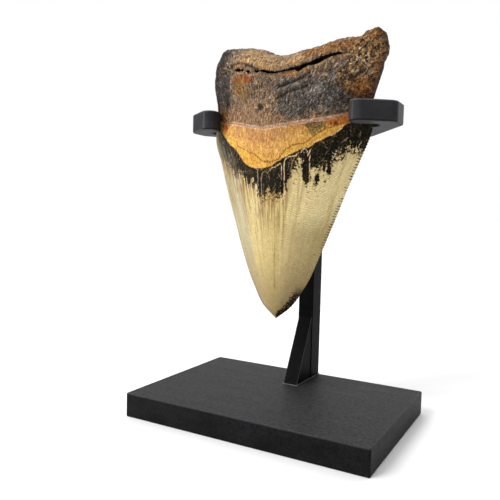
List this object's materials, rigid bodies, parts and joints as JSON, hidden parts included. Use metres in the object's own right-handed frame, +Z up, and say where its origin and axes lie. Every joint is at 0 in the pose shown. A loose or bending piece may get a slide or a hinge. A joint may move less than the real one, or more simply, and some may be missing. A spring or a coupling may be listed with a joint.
{
  "type": "fossil shark tooth in a display stand",
  "caption": "Large serrated fossil shark tooth hung point down in the forked cradle of a black post stand with a flat base plate.",
  "frame": {"origin": "centre of the base plate's underside", "axes": "+Z up along the post, +X along the base plate's long side, -Y towards the viewer and the tooth's rounded face"},
  "size_m": [0.14, 0.097, 0.209],
  "materials": {
    "fossil": "mineralised enamel and rough root, satin",
    "black_coat": "fine matte black powder coat",
    "black_screw": "black oxide"
  },
  "bodies": {
    "root": {"tooth": "fossil", "base_plate": "black_coat", "post": "black_coat", "gusset": "black_coat", "cradle": "black_coat", "base_screw_post": "black_screw", "base_screw_gusset": "black_screw", "cradle_screw_1": "black_screw", "cradle_screw_2": "black_screw"}
  },
  "joints": []
}
